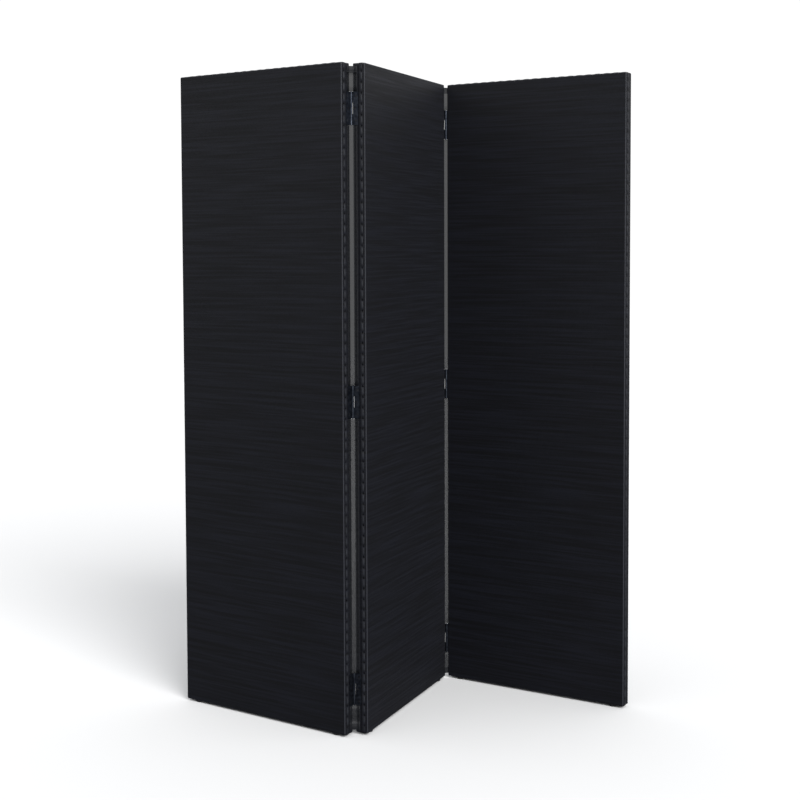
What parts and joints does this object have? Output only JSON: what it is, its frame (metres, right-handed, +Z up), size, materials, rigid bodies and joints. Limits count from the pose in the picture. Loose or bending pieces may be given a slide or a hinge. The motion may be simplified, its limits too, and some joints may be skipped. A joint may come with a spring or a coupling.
{
  "type": "folding room divider screen",
  "caption": "Folding room divider screen of flat cloth-covered panels joined by butt hinges, with sheer cloth strips across the gaps and small round glides underneath.",
  "frame": {"origin": "bottom centre of the screen's bounding box as it stands half folded, on the floor", "axes": "+Z up, +X to the right and +Y away, seen from the side that the corner between the left and middle panels points to"},
  "size_m": [1.292, 0.5918, 1.8297],
  "materials": {
    "cover_cloth": "tightly woven black upholstery cloth with a fine horizontal rib, matte",
    "facing_board": "brown hardboard, smooth",
    "frame_timber": "planed softwood, unfinished",
    "dowel_wood": "fluted beech dowel, unfinished",
    "tack_steel": "blued black upholstery tack",
    "glide_plastic": "moulded black plastic",
    "hinge_steel": "satin black painted steel, worn brighter along the knuckles",
    "pin_steel": "bright drawn steel",
    "screw_steel": "black oxide",
    "gap_cloth": "sheer black woven tape that lets some light through"
  },
  "bodies": {
    "middle_panel": {"left_centre_hinge_fixed_leaf": "hinge_steel", "left_centre_hinge_pin": "pin_steel", "left_fixed_screws": "screw_steel", "left_gap_strips": "gap_cloth", "left_lower_hinge_fixed_leaf": "hinge_steel", "left_lower_hinge_pin": "pin_steel", "left_upper_hinge_fixed_leaf": "hinge_steel", "left_upper_hinge_pin": "pin_steel", "middle_panel_back_board": "facing_board", "middle_panel_back_cover": "cover_cloth", "middle_panel_bottom_rail": "frame_timber", "middle_panel_cover_tacks": "tack_steel", "middle_panel_frame_dowels": "dowel_wood", "middle_panel_front_board": "facing_board", "middle_panel_front_cover": "cover_cloth", "middle_panel_glides": "glide_plastic", "middle_panel_left_stile": "frame_timber", "middle_panel_middle_rail": "frame_timber", "middle_panel_right_stile": "frame_timber", "middle_panel_top_rail": "frame_timber", "right_centre_hinge_fixed_leaf": "hinge_steel", "right_centre_hinge_pin": "pin_steel", "right_fixed_screws": "screw_steel", "right_gap_strips": "gap_cloth", "right_lower_hinge_fixed_leaf": "hinge_steel", "right_lower_hinge_pin": "pin_steel", "right_upper_hinge_fixed_leaf": "hinge_steel", "right_upper_hinge_pin": "pin_steel"},
    "left_panel": {"left_centre_hinge_swing_leaf": "hinge_steel", "left_lower_hinge_swing_leaf": "hinge_steel", "left_panel_back_board": "facing_board", "left_panel_back_cover": "cover_cloth", "left_panel_bottom_rail": "frame_timber", "left_panel_cover_tacks": "tack_steel", "left_panel_frame_dowels": "dowel_wood", "left_panel_front_board": "facing_board", "left_panel_front_cover": "cover_cloth", "left_panel_glides": "glide_plastic", "left_panel_left_stile": "frame_timber", "left_panel_middle_rail": "frame_timber", "left_panel_right_stile": "frame_timber", "left_panel_top_rail": "frame_timber", "left_swing_screws": "screw_steel", "left_upper_hinge_swing_leaf": "hinge_steel"},
    "right_panel": {"right_centre_hinge_swing_leaf": "hinge_steel", "right_lower_hinge_swing_leaf": "hinge_steel", "right_panel_back_board": "facing_board", "right_panel_back_cover": "cover_cloth", "right_panel_bottom_rail": "frame_timber", "right_panel_cover_tacks": "tack_steel", "right_panel_frame_dowels": "dowel_wood", "right_panel_front_board": "facing_board", "right_panel_front_cover": "cover_cloth", "right_panel_glides": "glide_plastic", "right_panel_left_stile": "frame_timber", "right_panel_middle_rail": "frame_timber", "right_panel_right_stile": "frame_timber", "right_panel_top_rail": "frame_timber", "right_swing_screws": "screw_steel", "right_upper_hinge_swing_leaf": "hinge_steel"}
  },
  "joints": [
    {"name": "left_fold", "type": "hinge", "parent": "middle_panel", "child": "left_panel", "pos_m": [-0.14253, -0.26617, 0.9], "axis": [0, 0, 1], "range_deg": [-77.2, 102.8], "deforming": ["left_gap_strips"]},
    {"name": "right_fold", "type": "hinge", "parent": "middle_panel", "child": "right_panel", "pos_m": [0.12782, 0.26497, 0.9], "axis": [0, 0, 1], "range_deg": [-80, 100], "deforming": ["right_gap_strips"]}
  ]
}
